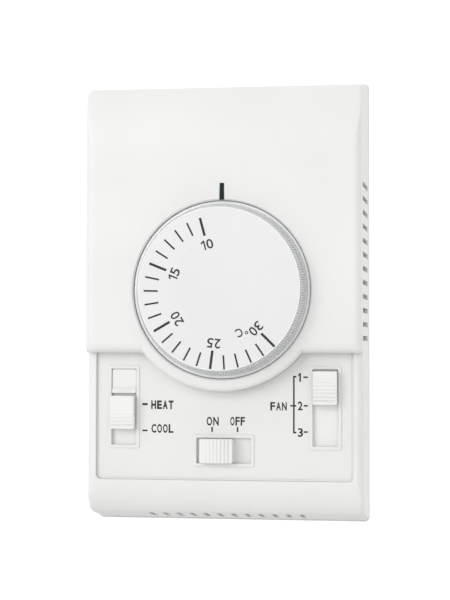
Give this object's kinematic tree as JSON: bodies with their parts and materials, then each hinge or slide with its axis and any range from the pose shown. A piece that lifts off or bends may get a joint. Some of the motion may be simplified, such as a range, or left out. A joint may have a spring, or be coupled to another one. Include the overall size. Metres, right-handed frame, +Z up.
{
  "type": "wall thermostat",
  "caption": "Wall thermostat for a fan-coil unit: vented off-white casing, turning temperature dial in a round collar, and a recessed panel with slide switches.",
  "frame": {"origin": "middle of the base plate's back face, in the plane of the wall", "axes": "+Z up the wall, +Y into the wall, +X to the right as seen from the room; the front faces -Y"},
  "size_m": [0.0816, 0.034, 0.13],
  "materials": {
    "white_plastic": "satin moulded off-white ABS",
    "back_plastic": "fine matt moulded off-white ABS",
    "printed_white": "satin white disc with a printed scale",
    "clear_plastic": "clear moulded plastic, knurled",
    "black_plastic": "matt black moulding",
    "blue_plastic": "matt blue moulding",
    "board_laminate": "phenolic board",
    "steel": "zinc-plated",
    "spring_steel": "drawn wire",
    "brass": "turned",
    "copper_alloy": "pressed"
  },
  "bodies": {
    "casing": {"base_plate": "back_plastic", "front_cover": "white_plastic", "switch_fascia": "white_plastic", "blanking_plate": "white_plastic", "spindle_bush": "brass", "bearing_bridge": "steel", "circuit_board": "board_laminate", "terminal_block": "blue_plastic", "mechanism_chassis": "black_plastic", "range_lever_pin": "steel", "main_lever_pin": "spring_steel", "capsule_back": "copper_alloy", "capsule_front": "copper_alloy", "capsule_stud": "brass", "capsule_nut": "brass", "switch_bracket": "steel", "snap_switch": "black_plastic", "fan_speed_switch": "steel", "heat_cool_switch": "steel", "on_off_switch": "steel", "board_screw_1": "steel", "board_screw_2": "steel", "board_screw_3": "steel", "terminal_screw_1": "brass", "terminal_screw_2": "brass", "terminal_screw_3": "brass", "terminal_screw_4": "brass", "terminal_screw_5": "brass", "terminal_screw_6": "brass", "terminal_screw_7": "brass", "chassis_screw_1": "steel", "chassis_screw_2": "steel", "chassis_screw_3": "steel", "chassis_screw_4": "steel", "bridge_screw_1": "steel", "bracket_screw_1": "steel", "bridge_screw_2": "steel", "bracket_screw_2": "steel", "snap_switch_tag_1": "brass", "snap_switch_tag_2": "brass", "snap_switch_tag_3": "brass"},
    "dial": {"dial_knob": "clear_plastic", "dial_face": "printed_white", "dial_spindle": "back_plastic", "setpoint_cam": "back_plastic", "spindle_clip": "spring_steel"},
    "fan_speed_slide": {"fan_speed_cap": "white_plastic", "fan_speed_lever": "black_plastic"},
    "heat_cool_slide": {"heat_cool_cap": "white_plastic", "heat_cool_lever": "black_plastic"},
    "on_off_slide": {"on_off_cap": "white_plastic", "on_off_lever": "black_plastic"},
    "range_arm": {"range_lever": "steel", "range_spring": "spring_steel"},
    "bell_crank": {"main_lever": "steel"},
    "plunger": {"capsule_plunger": "back_plastic"},
    "snap_button": {"snap_switch_button": "back_plastic"}
  },
  "joints": [
    {"name": "dial_turn", "type": "hinge", "parent": "casing", "child": "dial", "pos_m": [0, -0.03, 0.0027], "axis": [0, 1, 0], "range_deg": [0, 240]},
    {"name": "fan_speed_slide", "type": "slide", "parent": "casing", "child": "fan_speed_slide", "axis": [0, 0, -1], "range_m": [0, 0.0113]},
    {"name": "heat_cool_slide", "type": "slide", "parent": "casing", "child": "heat_cool_slide", "axis": [0, 0, -1], "range_m": [0, 0.0043]},
    {"name": "on_off_slide", "type": "slide", "parent": "casing", "child": "on_off_slide", "axis": [1, 0, 0], "range_m": [0, 0.0043]},
    {"name": "range_arm_turn", "type": "hinge", "parent": "casing", "child": "range_arm", "pos_m": [0.019, -0.0118, -0.0099], "axis": [0, -1, 0], "range_deg": [0, 6], "deforming": ["range_spring"]},
    {"name": "bell_crank_turn", "type": "hinge", "parent": "casing", "child": "bell_crank", "pos_m": [-0.015, -0.0152, 0.03], "axis": [1, 0, 0], "range_deg": [0, 3], "stiffness_Nm_per_rad": 0.3},
    {"name": "plunger_stroke", "type": "slide", "parent": "casing", "child": "plunger", "axis": [0, -1, 0], "range_m": [0, 0.00063]},
    {"name": "snap_button_stroke", "type": "slide", "parent": "casing", "child": "snap_button", "axis": [0, -1, 0], "range_m": [0, 0.0009]}
  ],
  "couplings": [
    {"joint": "range_arm_turn", "follows": "dial_turn", "ratio": 0.025},
    {"joint": "plunger_stroke", "follows": "bell_crank_turn", "m_per_rad": 0.012},
    {"joint": "snap_button_stroke", "follows": "bell_crank_turn", "m_per_rad": 0.017}
  ]
}
